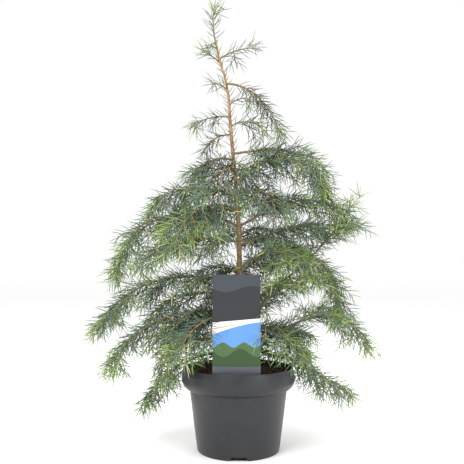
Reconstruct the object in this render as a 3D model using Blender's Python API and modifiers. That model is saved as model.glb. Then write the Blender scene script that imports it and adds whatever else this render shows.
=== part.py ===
# A young deodar cedar in a round nursery pot, with a picture card standing in the soil.
# Metres, +Z up. The origin is the middle of the pot's flat underside. +X is the right of the front view
# and -Y faces its viewer. Bearings turn from +X towards +Y, so 90 is the back and 270 the front.

import math

import bmesh
import bpy
import numpy as np

SEED = 45
CLEARANCE = 0.0003  # the gap between two pieces that touch

# Pot: a thin turned shell with a deep outward collar and four drain notches in its foot
TURNED_STEPS = 40
POT_WALL = 0.0022
POT_FLOOR = 0.003
FOOT_RADIUS = 0.0862
FOOT_ROUND = 0.003
NECK_RADIUS = 0.1032
NECK_HEIGHT = 0.1255
COLLAR_RADIUS = 0.1198
COLLAR_HEIGHT = 0.1430  # height of the collar's widest line
RIM_RADIUS = 0.1162
RIM_HEIGHT = 0.1710
COLLAR_ROUND_POINTS = 5
NOTCH_COUNT = 4
NOTCH_FOOT_WIDTH = 0.038
NOTCH_TOP_WIDTH = 0.028
NOTCH_HEIGHT = 0.008
NOTCH_INNER_RADIUS = 0.078

# Soil: a plug that fills the pot to a little under its rim
SOIL_TOP = 0.159
SOIL_EDGE_DROP = 0.002
SOIL_FLAT_RADIUS = 0.030
SOIL_FOOT_BEVEL = 0.012

# Card: a thin sheet with a spike, standing just inside the front of the rim
CARD_WIDTH = 0.095
CARD_TOP = 0.364
CARD_SHOULDER = 0.1625
CARD_SPIKE_WIDTH = 0.026
CARD_SPIKE_FOOT = 0.120
CARD_THICKNESS = 0.001
CARD_X = -0.0045
CARD_Y = -0.095

# Trunk: (height, sideways lean, radius) from the flat cut at the soil to the leader's tip
TRUNK_STATIONS = (
    (0.1593, 0.0035, 0.0105),
    (0.1630, 0.0035, 0.0088),
    (0.1720, 0.0038, 0.0074),
    (0.2700, 0.0058, 0.0060),
    (0.3650, 0.0040, 0.0055),
    (0.4400, 0.0018, 0.0051),
    (0.5280, -0.0020, 0.0046),
    (0.6120, -0.0094, 0.0040),
    (0.6750, -0.0155, 0.0035),
    (0.7640, -0.0218, 0.0028),
    (0.8080, -0.0295, 0.0025),
    (0.8330, -0.0385, 0.0023),
    (0.8600, -0.0444, 0.0021),
    (0.8850, -0.0492, 0.0019),
)
TRUNK_SIDES_RESOLUTION = 2

# Boughs and shoots: (name, height on the trunk, bearing, length, rise, droop, bend, limb).
# A stem leaves the trunk at the angle rise, turns down to the angle droop at its tip, and turns early
# where bend is under 1 and late where it is over 1. Where limb is 1, the stretch nearest the trunk is a
# bare limb of its own. Where it is 0, the foliage starts at the trunk.
BOUGHS = (
    ("right_top", 0.789, 348, 0.186, 6, -78, 0.6, 0),
    ("right_arch", 0.631, 8, 0.240, 10, -84, 2.4, 1),
    ("right_shoulder", 0.556, 350, 0.265, 55, -95, 1.3, 1),
    ("right_long", 0.469, 4, 0.262, 30, -56, 2.4, 1),
    ("right_back", 0.429, 24, 0.262, 20, -8, 2.4, 0),
    ("right_front", 0.370, 320, 0.205, 32, -84, 2.4, 0),
    ("right_weeping", 0.378, 353, 0.302, 44, -100, 1.15, 1),
    ("right_upswept", 0.300, 13, 0.350, 23, 59, 1.0, 1),
    ("right_fill", 0.262, 337, 0.215, 42, -4, 2.4, 0),
    ("right_low", 0.176, 355, 0.322, 41, -72, 2.4, 1),
    ("right_foot", 0.206, 18, 0.277, 4, -36, 0.5, 1),
    ("left_arch", 0.614, 198, 0.214, 46, -100, 0.5, 0),
    ("left_shoulder", 0.538, 172, 0.208, 16, -54, 1.9, 0),
    ("left_long", 0.469, 183, 0.345, 30, -88, 1.2, 1),
    ("left_front", 0.437, 207, 0.245, 4, -64, 2.5, 1),
    ("left_wide", 0.345, 176, 0.356, 13, -68, 1.6, 1),
    ("left_back", 0.318, 158, 0.236, 10, -42, 1.4, 0),
    ("left_low", 0.266, 187, 0.323, 34, -56, 0.75, 1),
    ("left_fill", 0.206, 203, 0.212, 28, -80, 1.6, 0),
    ("left_foot", 0.192, 168, 0.253, 18, -58, 0.75, 1),
    ("front_high", 0.580, 256, 0.190, 34, -84, 0.9, 0),
    ("front_left", 0.506, 228, 0.230, 12, -76, 1.3, 0),
    ("front_right", 0.524, 300, 0.185, 32, -72, 1.1, 0),
    ("front_low_left", 0.262, 226, 0.205, 30, -62, 1.0, 0),
    ("front_low_right", 0.236, 318, 0.195, 34, -58, 1.0, 0),
    ("back_high", 0.586, 78, 0.205, 34, -80, 1.1, 0),
    ("back_left", 0.498, 122, 0.270, 24, -74, 1.3, 1),
    ("back_right", 0.448, 58, 0.285, 26, -70, 1.3, 1),
    ("back_middle", 0.352, 92, 0.305, 28, -66, 1.2, 1),
    ("back_low_left", 0.250, 134, 0.290, 30, -62, 1.0, 0),
    ("back_low_right", 0.222, 52, 0.285, 30, -58, 1.0, 0),
    ("shoot_right_cluster", 0.692, 330, 0.085, 26, -48, 1.0, 0),
    ("shoot_left_lower", 0.674, 172, 0.078, 4, -78, 1.2, 0),
    ("shoot_left_upper", 0.714, 190, 0.088, 4, -40, 1.1, 0),
    ("shoot_left_top", 0.838, 165, 0.055, 46, 24, 1.0, 0),
    ("shoot_right_top", 0.846, 12, 0.090, 40, 4, 1.0, 0),
    ("shoot_right_middle", 0.742, 338, 0.048, 34, -12, 1.0, 0),
    ("shoot_left_middle", 0.776, 188, 0.038, 38, 8, 1.0, 0),
    ("shoot_left_leader", 0.868, 176, 0.026, 44, 24, 1.0, 0),
    ("leader", 0.885, 184, 0.074, 74, 98, 1.0, 0),
)
LIMB_SHARE = 0.28
LIMB_ROOT_RADIUS = 0.0018
LIMB_RADIUS_PER_LENGTH = 0.0058
LIMB_POINTS = 7
LIMB_SIDES_RESOLUTION = 1

# Foliage: side twigs on each stem, and needles on both
TWIG_SPACING = 0.014
TWIG_SPACING_PER_LENGTH = 0.078
TWIG_BARE_TIP = 0.015
TWIG_LENGTH_SHARE = 0.33
TWIG_LONGEST = 0.105
TWIG_SHORTEST = 0.022
TWIG_ANGLE = 54
TWIG_SAG = 1.15
TWIG_ROOT_SINK = 0.0006
STEM_TIP_RADIUS = 0.0010
TWIG_ROOT_RADIUS = 0.0016
NEEDLE_SPACING = 0.0140
NEEDLE_TWIST = 24
NEEDLE_LENGTH = 0.033
NEEDLE_LEAN = 42
NEEDLE_BARE_ROOT = 0.008
NEEDLE_TESTS = 6  # places along a needle that have to be free
SPACE_MARGIN = 0.0016
LIMB_MARGIN = 0.0022
POT_MARGIN = 0.007
AXIS_STEPS = 48


def unit(vectors):
    return vectors / np.linalg.norm(vectors, axis=-1, keepdims=True)


def make_material(name, colour, roughness, metallic=0.0):
    material = bpy.data.materials.new(name)
    material.use_nodes = True
    shader = material.node_tree.nodes["Principled BSDF"]
    shader.inputs["Base Color"].default_value = (*colour, 1.0)
    shader.inputs["Roughness"].default_value = roughness
    shader.inputs["Metallic"].default_value = metallic
    material.diffuse_color = (*colour, 1.0)
    return material


def add_object(name, data, material, collection):
    obj = bpy.data.objects.new(name, data)
    if material:
        data.materials.append(material)
    collection.objects.link(obj)
    return obj


def applied_mesh(obj):
    # The object's mesh as its modifiers leave it
    graph = bpy.context.evaluated_depsgraph_get()
    return bpy.data.meshes.new_from_object(obj.evaluated_get(graph))


def turned(name, profile, material, collection):
    # A profile of (radius, height) turned once round the Z axis
    mesh = bpy.data.meshes.new(name)
    points = [(radius, 0.0, height) for radius, height in profile]
    mesh.from_pydata(points, [(i, i + 1) for i in range(len(points) - 1)], [])
    obj = add_object(name, mesh, material, collection)
    screw = obj.modifiers.new("Turn", "SCREW")
    screw.steps = screw.render_steps = TURNED_STEPS
    screw.use_merge_vertices = True
    screw.merge_threshold = 0.00001
    obj.data = applied_mesh(obj)
    obj.modifiers.clear()
    obj.data.name = name
    obj.data.shade_smooth()
    obj.data.set_sharp_from_angle(angle=math.radians(35))
    return obj


def hide_as_helper(obj):
    obj.hide_render = True
    obj.display_type = "WIRE"


def cut(obj, cutter, name):
    boolean = obj.modifiers.new(name, "BOOLEAN")
    boolean.operation = "DIFFERENCE"
    boolean.object = cutter


def wall_radius(height):
    # The pot's outer wall is a straight taper from the foot to the neck
    return FOOT_RADIUS + (NECK_RADIUS - FOOT_RADIUS) * height / NECK_HEIGHT


def collar_outline():
    # From the rim down the collar's outer face, then round under it and in to the neck
    depth = COLLAR_HEIGHT - NECK_HEIGHT
    width = COLLAR_RADIUS - NECK_RADIUS
    outline = [(RIM_RADIUS, RIM_HEIGHT - 0.001)]
    for i in range(COLLAR_ROUND_POINTS):
        turn = math.pi / 2 * i / (COLLAR_ROUND_POINTS - 1)
        outline.append((NECK_RADIUS + width * math.cos(turn), COLLAR_HEIGHT - depth * math.sin(turn) ** 1.6))
    return outline


def inner_outline(inset):
    # The pot's hollow, bottom to top, at the given distance inside its outer face
    outline = [(wall_radius(POT_FLOOR + SOIL_FOOT_BEVEL) - inset, POT_FLOOR + SOIL_FOOT_BEVEL)]
    outline.append((NECK_RADIUS - inset, NECK_HEIGHT + inset))
    outline.append((COLLAR_RADIUS - inset - 0.003, COLLAR_HEIGHT + 0.001))
    outline.append((RIM_RADIUS - inset, RIM_HEIGHT - 0.001))
    return outline


def make_pot(material, collection, helpers):
    hollow = inner_outline(POT_WALL)
    floor_radius = wall_radius(POT_FLOOR) - POT_WALL
    profile = [(0.0, POT_FLOOR), (floor_radius, POT_FLOOR)] + hollow
    profile += [(RIM_RADIUS - POT_WALL + 0.0006, RIM_HEIGHT), (RIM_RADIUS - 0.0006, RIM_HEIGHT)]
    profile += collar_outline()
    profile += [(FOOT_RADIUS + 0.0004, FOOT_ROUND), (FOOT_RADIUS - FOOT_ROUND, 0.0), (0.0, 0.0)]
    pot = turned("pot", profile, material, collection)
    for i in range(NOTCH_COUNT):
        cut(pot, notch_cutter(i, helpers), f"Notch {i + 1}")
    return pot


def notch_cutter(index, helpers):
    # A bar with sloping sides that points outwards through the foot of the wall
    length = 0.03
    mesh = bpy.data.meshes.new(f"notch_cutter_{index + 1}")
    shape = bmesh.new()
    bmesh.ops.create_cube(shape, size=1.0)
    for vert in shape.verts:
        top = vert.co.z > 0
        width = NOTCH_TOP_WIDTH if top else NOTCH_FOOT_WIDTH
        vert.co.x = NOTCH_INNER_RADIUS + length * (vert.co.x + 0.5)
        vert.co.y *= width
        vert.co.z = NOTCH_HEIGHT if top else -0.004
    shape.to_mesh(mesh)
    shape.free()
    cutter = add_object(mesh.name, mesh, None, helpers)
    cutter.rotation_euler.z = math.tau * index / NOTCH_COUNT
    hide_as_helper(cutter)
    return cutter


def make_soil(material, collection, helpers):
    side = inner_outline(POT_WALL + CLEARANCE)[:-1]
    low_radius = wall_radius(POT_FLOOR) - POT_WALL - SOIL_FOOT_BEVEL
    edge_height = SOIL_TOP - SOIL_EDGE_DROP
    lift = (edge_height - COLLAR_HEIGHT) / (RIM_HEIGHT - COLLAR_HEIGHT)
    edge_radius = COLLAR_RADIUS + (RIM_RADIUS - COLLAR_RADIUS) * lift - POT_WALL - 0.0015
    profile = [(0.0, SOIL_TOP), (SOIL_FLAT_RADIUS, SOIL_TOP), (edge_radius, edge_height)]
    profile += side[::-1]
    profile += [(low_radius, POT_FLOOR + CLEARANCE), (0.0, POT_FLOOR + CLEARANCE)]
    soil = turned("soil", profile, material, collection)
    slot = bpy.data.meshes.new("card_slot")
    shape = bmesh.new()
    bmesh.ops.create_cube(shape, size=1.0)
    foot = CARD_SPIKE_FOOT - CLEARANCE
    top = SOIL_TOP + 0.01
    for vert in shape.verts:
        vert.co.x = CARD_X + vert.co.x * (CARD_SPIKE_WIDTH + 2 * CLEARANCE)
        vert.co.y = CARD_Y + vert.co.y * (CARD_THICKNESS + 2 * CLEARANCE)
        vert.co.z = top if vert.co.z > 0 else foot
    shape.to_mesh(slot)
    shape.free()
    cutter = add_object(slot.name, slot, None, helpers)
    hide_as_helper(cutter)
    cut(soil, cutter, "Card slot")
    return soil


def make_card(material, collection):
    half = CARD_WIDTH / 2
    spike = CARD_SPIKE_WIDTH / 2
    outline = [(-half, CARD_TOP), (-half, CARD_SHOULDER), (-spike, CARD_SHOULDER)]
    outline += [(-spike, CARD_SPIKE_FOOT + 0.014), (0.0, CARD_SPIKE_FOOT)]
    outline += [(-x, z) for x, z in outline[-2::-1]]
    curve = bpy.data.curves.new("card", "CURVE")
    curve.dimensions = "2D"
    curve.fill_mode = "BOTH"
    curve.extrude = CARD_THICKNESS / 2
    spline = curve.splines.new("POLY")
    spline.points.add(len(outline) - 1)
    for point, (x, z) in zip(spline.points, outline):
        point.co = (x, z, 0.0, 1.0)
    spline.use_cyclic_u = True
    card = add_object("card", curve, material, collection)
    card.location = (CARD_X, CARD_Y, 0.0)
    card.rotation_euler.x = math.pi / 2
    return card


def trunk_point(height):
    # The trunk's axis at a height, read between its stations, and its radius there
    stations = np.array(TRUNK_STATIONS)
    return np.array([np.interp(height, stations[:, 0], stations[:, 1]), 0.0, height]), float(
        np.interp(height, stations[:, 0], stations[:, 2])
    )


def tube(name, points, radii, sides_resolution, material, collection):
    # A tapering round limb along its points, with flat ends
    curve = bpy.data.curves.new(name, "CURVE")
    curve.dimensions = "3D"
    curve.bevel_depth = 1.0
    curve.bevel_resolution = sides_resolution
    curve.use_fill_caps = True
    spline = curve.splines.new("POLY")
    spline.points.add(len(points) - 1)
    for point, place, radius in zip(spline.points, points, radii):
        point.co = (*place, 1.0)
        point.radius = radius
    spline.use_smooth = True
    return add_object(name, curve, material, collection)


def stem_axis(root, bearing, length, rise, droop, bend):
    # The slope runs from rise to droop as the share of the length to the power bend
    share = (np.arange(AXIS_STEPS) + 0.5) / AXIS_STEPS
    slope = np.radians(rise + (droop - rise) * share**bend)
    turn = math.radians(bearing)
    level = np.cos(slope)
    steps = np.column_stack([level * math.cos(turn), level * math.sin(turn), np.sin(slope)])
    return np.vstack([root, root + np.cumsum(steps, axis=0) * length / AXIS_STEPS])


def twig_axis(root, heading, length, sag):
    # A twig sets off along its heading and sags more the further it goes
    share = (np.arange(AXIS_STEPS // 4) + 0.5) / (AXIS_STEPS // 4)
    pull = np.array([0.0, 0.0, -sag])
    steps = unit(heading + share[:, None] * pull)
    return np.vstack([root, root + np.cumsum(steps, axis=0) * length / len(share)])


def along(axis, distances):
    # Points and directions at the given distances along an axis line
    pieces = np.diff(axis, axis=0)
    travelled = np.concatenate([[0.0], np.cumsum(np.linalg.norm(pieces, axis=1))])
    points = np.column_stack([np.interp(distances, travelled, axis[:, i]) for i in range(3)])
    middles = (travelled[1:] + travelled[:-1]) / 2
    directions = unit(pieces)
    headings = np.column_stack([np.interp(distances, middles, directions[:, i]) for i in range(3)])
    return points, unit(headings)


def axis_length(axis):
    return float(np.linalg.norm(np.diff(axis, axis=0), axis=1).sum())


def limb_radius(length, share):
    root = LIMB_ROOT_RADIUS + LIMB_RADIUS_PER_LENGTH * length
    return STEM_TIP_RADIUS + (root - STEM_TIP_RADIUS) * (1 - share) ** 0.9


class Plan:
    # Every stem's axis line, worked out before anything is made, so that each mass knows its own space

    def __init__(self):
        self.stems = []
        for row in BOUGHS:
            name, height, bearing, length, rise, droop, bend, limb = row
            centre, trunk_radius = trunk_point(height)
            away = np.array([math.cos(math.radians(bearing)), math.sin(math.radians(bearing)), 0.0])
            root_radius = limb_radius(length, 0.0)
            step = away * (trunk_radius + CLEARANCE + root_radius * abs(math.sin(math.radians(rise))))
            if height >= TRUNK_STATIONS[-1][0]:
                step = np.array([0.0, 0.0, CLEARANCE + root_radius * math.cos(math.radians(rise))])
            axis = stem_axis(centre + step, bearing, length, rise, droop, bend)
            self.stems.append((name, axis, length, limb))
        self.samples = np.vstack([axis for _, axis, _, _ in self.stems])
        self.owners = np.repeat(np.arange(len(self.stems)), AXIS_STEPS + 1)
        self.wood, self.wood_radius = self.woody_samples()

    def woody_samples(self):
        # Points along the trunk and the bare limbs, with the radius at each
        heights = np.linspace(TRUNK_STATIONS[0][0], TRUNK_STATIONS[-1][0], 200)
        places = [trunk_point(height) for height in heights]
        points = [place for place, _ in places]
        radii = [radius for _, radius in places]
        for _, axis, length, limb in self.stems:
            if limb:
                shares = np.linspace(0.0, LIMB_SHARE, 20)
                points += list(along(axis, shares * length)[0])
                radii += [limb_radius(length, share) for share in shares]
        return np.array(points), np.array(radii)

    def free(self, points, owner, thickness=0.0):
        # True where a point is in its owner's space, and clear of the wood, the pot and the card
        gaps = np.linalg.norm(points[:, None, :] - self.samples[None], axis=2)
        own = self.owners == owner
        mine = gaps[:, own].min(axis=1)
        others = gaps[:, ~own].min(axis=1)
        wood_gaps = np.linalg.norm(points[:, None, :] - self.wood[None], axis=2) - self.wood_radius
        off_wood = wood_gaps.min(axis=1) > LIMB_MARGIN + thickness
        radius = np.hypot(points[:, 0], points[:, 1])
        off_pot = (radius > COLLAR_RADIUS + POT_MARGIN) | (points[:, 2] > RIM_HEIGHT + POT_MARGIN)
        off_card = (
            (np.abs(points[:, 0] - CARD_X) > CARD_WIDTH / 2 + POT_MARGIN)
            | (np.abs(points[:, 1] - CARD_Y) > POT_MARGIN)
            | (points[:, 2] > CARD_TOP + POT_MARGIN)
        )
        return (mine + SPACE_MARGIN + thickness < others) & off_wood & off_pot & off_card


def needle_tip(root, needle, plan, owner):
    # The needle's tip, or its root where the needle would leave its mass's space
    stretch = root + np.linspace(0.2, 1.0, NEEDLE_TESTS)[:, None] * needle
    return stretch[-1] if plan.free(stretch, owner).all() else root


def needled_twig(axis, length, root_radius, bare, plan, owner, rng):
    # A three-sided twig with corner lines 0, 1 and 2. At each step one line is drawn out into a needle,
    # between a corner just before it and a corner just after it, and the next step draws out the next
    # line, turned a little further round. A needle that would leave its mass's space stays in the twig.
    # The first ring has one corner uppermost, the one that comes nearest to the trunk.
    count = max(3, int(round(length / NEEDLE_SPACING)))
    half_steps = np.linspace(0.0, length, 2 * count + 1)
    centres, headings = along(axis, half_steps)
    across = unit(np.cross(headings[0], np.array([0.0, 0.0, 1.0])))
    reach = NEEDLE_LENGTH * rng.uniform(0.85, 1.1, count + 1)
    lean = np.radians(NEEDLE_LEAN * rng.uniform(0.85, 1.12, count))

    def outwards(place, line):
        level = unit(across - headings[place] * np.dot(across, headings[place]))
        turn = math.radians(NEEDLE_TWIST * place / 2 - 90) + math.tau * line / 3
        return level * math.cos(turn) + np.cross(headings[place], level) * math.sin(turn)

    def corner(place, line):
        radius = root_radius + (STEM_TIP_RADIUS - root_radius) * half_steps[place] / length
        return centres[place] + outwards(place, line) * radius

    verts = [corner(0, 1), corner(0, 2), corner(0, 0)]
    for step in range(count):
        place = 2 * step + 1
        root = corner(place, step)
        needle = outwards(place, step) * math.sin(lean[step]) + headings[place] * math.cos(lean[step])
        if half_steps[place] > bare:
            root = needle_tip(root, needle * reach[step], plan, owner)
        verts += [root, corner(place + 1, step), corner(place + 1, step + 1)]
    end = needle_tip(centres[-1], headings[-1] * reach[-1], plan, owner)
    verts.append(end + headings[-1] * STEM_TIP_RADIUS)
    return np.array(verts), twig_faces(count)


def twig_faces(count):
    # Step by step, the four faces of its needle and the two that bridge to its neighbours
    def after(step):
        return 3 * step + 4 if step >= 0 else step + 2

    def beside(step):
        return 3 * step + 5 if step >= 0 else 2

    end = 3 * count + 3
    faces = [(0, 1, 2), (after(-2), after(-1), beside(0))]
    for step in range(count):
        needle = 3 * step + 3
        faces += [(after(step - 1), beside(step - 1), needle), (after(step - 1), needle, after(step))]
        faces += [(beside(step - 1), beside(step), needle), (needle, beside(step), after(step))]
        faces.append((beside(step - 1), after(step - 2), beside(step)))
        if step < count - 1:
            faces.append((after(step - 1), after(step), beside(step + 1)))
    last = count - 1
    faces += [(after(last - 1), after(last), end), (beside(last), after(last - 1), end)]
    faces.append((after(last), beside(last), end))
    return faces


def kept_length(axis, length, plan, owner, skip):
    # How far a twig can grow before it leaves its space or touches a limb. The first stretch is in its stem
    distances = np.arange(skip, length, 0.004)
    if not len(distances):
        return 0.0
    blocked = ~plan.free(along(axis, distances)[0], owner, TWIG_ROOT_RADIUS)
    return float(distances[blocked.argmax()]) - 0.004 if blocked.any() else length


def side_twigs(axis, start, length, plan, owner, rng):
    # Twigs leave the stem by turns left and right, shorter towards its tip, and sag under their weight
    twigs = []
    side = 1 if rng.random() < 0.5 else -1
    spacing = TWIG_SPACING + TWIG_SPACING_PER_LENGTH * length
    place = start + 0.6 * spacing
    while place < length - TWIG_BARE_TIP:
        share = place / length
        centre, heading = (found[0] for found in along(axis, np.array([place])))
        level = unit(np.cross(heading, np.array([0.0, 0.0, 1.0])) + 1e-9)
        lift = rng.uniform(-0.35, 0.45)
        angle = math.radians(TWIG_ANGLE + rng.uniform(-9, 9))
        sideways = unit(level * side + np.array([0.0, 0.0, lift]))
        set_off = unit(heading * math.cos(angle) + sideways * math.sin(angle))
        wanted = min(TWIG_LONGEST, TWIG_LENGTH_SHARE * length * (1 - share) ** 0.55 + 0.014)
        wanted *= rng.uniform(0.8, 1.15)
        root = centre + set_off * TWIG_ROOT_SINK
        sag = TWIG_SAG * (1 - max(0.0, heading[2]))
        twig = twig_axis(root, set_off, wanted, sag)
        grown = min(wanted, kept_length(twig, wanted, plan, owner, 0.008))
        if grown >= TWIG_SHORTEST:
            twigs.append((twig, grown))
        side = -side
        place += spacing * rng.uniform(0.85, 1.15)
    return twigs


def mesh_of(name, verts, faces):
    mesh = bpy.data.meshes.new(name)
    mesh.from_pydata([tuple(vert) for vert in verts], [], faces)
    shape = bmesh.new()
    shape.from_mesh(mesh)
    bmesh.ops.recalc_face_normals(shape, faces=shape.faces)
    shape.to_mesh(mesh)
    shape.free()
    return mesh


def keep_largest_shell(mesh):
    # Drops loose scraps and the inner walls of sealed hollows, which fills them
    shape = bmesh.new()
    shape.from_mesh(mesh)
    unseen = set(shape.verts)
    shells = []
    while unseen:
        front = [unseen.pop()]
        shell = set(front)
        while front:
            vert = front.pop()
            for edge in vert.link_edges:
                other = edge.other_vert(vert)
                if other in unseen:
                    unseen.discard(other)
                    shell.add(other)
                    front.append(other)
        shells.append(shell)
    shells.sort(key=len)
    for shell in shells[:-1]:
        bmesh.ops.delete(shape, geom=list(shell), context="VERTS")
    shape.to_mesh(mesh)
    shape.free()


def make_mass(name, owner, stem, plan, material, collection):
    # One stem with its side twigs and needles, fused into one solid
    _, axis, length, limb = stem
    rng = np.random.default_rng([SEED, owner])
    start = LIMB_SHARE * length + CLEARANCE if limb else 0.0
    distances = np.linspace(start, length, AXIS_STEPS)
    points = along(axis, distances)[0]
    root_radius = limb_radius(length, start / length)
    verts, faces = needled_twig(
        points, axis_length(points), root_radius, NEEDLE_BARE_ROOT, plan, owner, rng
    )
    mass = add_object(name, mesh_of(name, verts, faces), material, collection)
    twigs = side_twigs(axis, start, length, plan, owner, rng)
    if not twigs:
        return mass
    joined = bpy.data.collections.new(f"{name}_twigs")
    bpy.context.scene.collection.children.link(joined)
    for index, (twig, grown) in enumerate(twigs):
        verts, faces = needled_twig(twig, grown, TWIG_ROOT_RADIUS, NEEDLE_BARE_ROOT, plan, owner, rng)
        add_object(f"{name}_twig_{index + 1}", mesh_of(f"{name}_twig", verts, faces), None, joined)
    boolean = mass.modifiers.new("Fuse twigs", "BOOLEAN")
    boolean.operation = "UNION"
    boolean.solver = "MANIFOLD"
    boolean.operand_type = "COLLECTION"
    boolean.collection = joined
    fused = applied_mesh(mass)
    mass.modifiers.clear()
    keep_largest_shell(fused)
    mass.data = fused
    mass.data.name = name
    for twig in list(joined.objects):
        bpy.data.objects.remove(twig)
    bpy.data.collections.remove(joined)
    return mass


def make_limb(name, axis, length, material, collection):
    shares = np.linspace(0.0, LIMB_SHARE, LIMB_POINTS)
    points = along(axis, shares * length)[0]
    radii = [limb_radius(length, share) for share in shares]
    return tube(name, points, radii, LIMB_SIDES_RESOLUTION, material, collection)


def make_trunk(material, collection):
    points = [(lean, 0.0, height) for height, lean, _ in TRUNK_STATIONS]
    radii = [radius for _, _, radius in TRUNK_STATIONS]
    return tube("trunk", points, radii, TRUNK_SIDES_RESOLUTION, material, collection)


def main():
    for obj in list(bpy.data.objects):
        bpy.data.objects.remove(obj)
    parts = bpy.data.collections.new("potted_deodar_cedar")
    helpers = bpy.data.collections.new("cutters")
    bpy.context.scene.collection.children.link(parts)
    bpy.context.scene.collection.children.link(helpers)
    plastic = make_material("Charcoal plastic", (0.060, 0.062, 0.066), 0.45)
    peat = make_material("Peat", (0.020, 0.012, 0.009), 0.95)
    print_card = make_material("Printed card", (0.045, 0.050, 0.056), 0.40)
    bark = make_material("Bark", (0.235, 0.140, 0.075), 0.85)
    needles = make_material("Needles", (0.110, 0.190, 0.120), 0.60)
    make_pot(plastic, parts, helpers)
    make_soil(peat, parts, helpers)
    make_card(print_card, parts)
    make_trunk(bark, parts)
    plan = Plan()
    for owner, stem in enumerate(plan.stems):
        name, axis, length, limb = stem
        if limb:
            make_limb(f"bough_{name}", axis, length, bark, parts)
        make_mass(f"foliage_{name}", owner, stem, plan, needles, parts)


main()
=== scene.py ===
import math

import bpy
import numpy as np
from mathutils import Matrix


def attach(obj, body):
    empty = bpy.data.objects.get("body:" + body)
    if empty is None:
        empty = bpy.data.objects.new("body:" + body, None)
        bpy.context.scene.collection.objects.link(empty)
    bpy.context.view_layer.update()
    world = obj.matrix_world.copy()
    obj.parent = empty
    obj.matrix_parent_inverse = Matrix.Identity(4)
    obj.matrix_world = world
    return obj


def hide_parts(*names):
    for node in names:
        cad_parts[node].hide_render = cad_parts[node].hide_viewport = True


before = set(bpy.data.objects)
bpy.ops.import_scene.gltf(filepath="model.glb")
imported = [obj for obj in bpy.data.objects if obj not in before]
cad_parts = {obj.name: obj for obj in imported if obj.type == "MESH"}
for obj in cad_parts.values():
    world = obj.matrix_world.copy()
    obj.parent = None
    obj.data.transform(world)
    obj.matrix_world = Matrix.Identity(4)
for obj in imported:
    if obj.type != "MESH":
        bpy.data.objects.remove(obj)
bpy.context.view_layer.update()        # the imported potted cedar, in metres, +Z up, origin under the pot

up = np.array([0.0, 0.0, 1.0])
rng = np.random.default_rng(45)
foliageNodes = sorted(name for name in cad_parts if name.startswith("foliage_"))
boughNodes = sorted(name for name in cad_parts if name.startswith("bough_"))


# Materials

def makeMottleGroup():
    # Noise on the given place, as a colour from dark to light, a roughness from smooth to rough,
    # and its own value for relief
    group = bpy.data.node_groups.new("mottle", "ShaderNodeTree")
    link = group.links.new
    for name, kind in (("Place", "NodeSocketVector"), ("Scale", "NodeSocketFloat"),
                       ("Dark", "NodeSocketColor"), ("Light", "NodeSocketColor"),
                       ("Smooth", "NodeSocketFloat"), ("Rough", "NodeSocketFloat")):
        group.interface.new_socket(name=name, in_out="INPUT", socket_type=kind)
    for name, kind in (("Color", "NodeSocketColor"), ("Roughness", "NodeSocketFloat"),
                       ("Value", "NodeSocketFloat")):
        group.interface.new_socket(name=name, in_out="OUTPUT", socket_type=kind)
    given = group.nodes.new("NodeGroupInput")
    result = group.nodes.new("NodeGroupOutput")
    noise = group.nodes.new("ShaderNodeTexNoise")
    noise.inputs["Detail"].default_value = 3.0
    spread = group.nodes.new("ShaderNodeMapRange")   # nearly all of the noise lies between these two
    spread.inputs["From Min"].default_value = 0.3
    spread.inputs["From Max"].default_value = 0.7
    mix = group.nodes.new("ShaderNodeMix")
    mix.data_type = "RGBA"
    rough = group.nodes.new("ShaderNodeMapRange")
    link(given.outputs["Place"], noise.inputs["Vector"])
    link(given.outputs["Scale"], noise.inputs["Scale"])
    link(noise.outputs["Fac"], spread.inputs["Value"])
    link(spread.outputs["Result"], mix.inputs["Factor"])
    link(given.outputs["Dark"], mix.inputs["A"])
    link(given.outputs["Light"], mix.inputs["B"])
    link(noise.outputs["Fac"], rough.inputs["Value"])
    link(given.outputs["Smooth"], rough.inputs["To Min"])
    link(given.outputs["Rough"], rough.inputs["To Max"])
    link(mix.outputs["Result"], result.inputs["Color"])
    link(rough.outputs["Result"], result.inputs["Roughness"])
    link(noise.outputs["Fac"], result.inputs["Value"])
    return group


mottle = makeMottleGroup()


def mottledMaterial(name, dark, light, scale, smooth, rough, relief=0.0, stretch=(1, 1, 1)):
    # A plain or two-tone surface whose roughness and fine relief follow the mottle group
    material = bpy.data.materials.new(name)
    material.use_nodes = True
    tree = material.node_tree
    link = tree.links.new
    shader = tree.nodes["Principled BSDF"]
    place = tree.nodes.new("ShaderNodeTexCoord")
    mapping = tree.nodes.new("ShaderNodeMapping")
    mapping.inputs["Scale"].default_value = stretch
    effect = tree.nodes.new("ShaderNodeGroup")
    effect.node_tree = mottle
    effect.inputs["Scale"].default_value = scale
    effect.inputs["Dark"].default_value = (*dark, 1)
    effect.inputs["Light"].default_value = (*light, 1)
    effect.inputs["Smooth"].default_value = smooth
    effect.inputs["Rough"].default_value = rough
    link(place.outputs["Object"], mapping.inputs["Vector"])
    link(mapping.outputs["Vector"], effect.inputs["Place"])
    link(effect.outputs["Roughness"], shader.inputs["Roughness"])
    if dark == light:
        shader.inputs["Base Color"].default_value = (*dark, 1)
    else:
        link(effect.outputs["Color"], shader.inputs["Base Color"])
    if relief:
        bump = tree.nodes.new("ShaderNodeBump")
        bump.inputs["Strength"].default_value = 0.5
        bump.inputs["Distance"].default_value = relief
        link(effect.outputs["Value"], bump.inputs["Height"])
        link(bump.outputs["Normal"], shader.inputs["Normal"])
    return material


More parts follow.
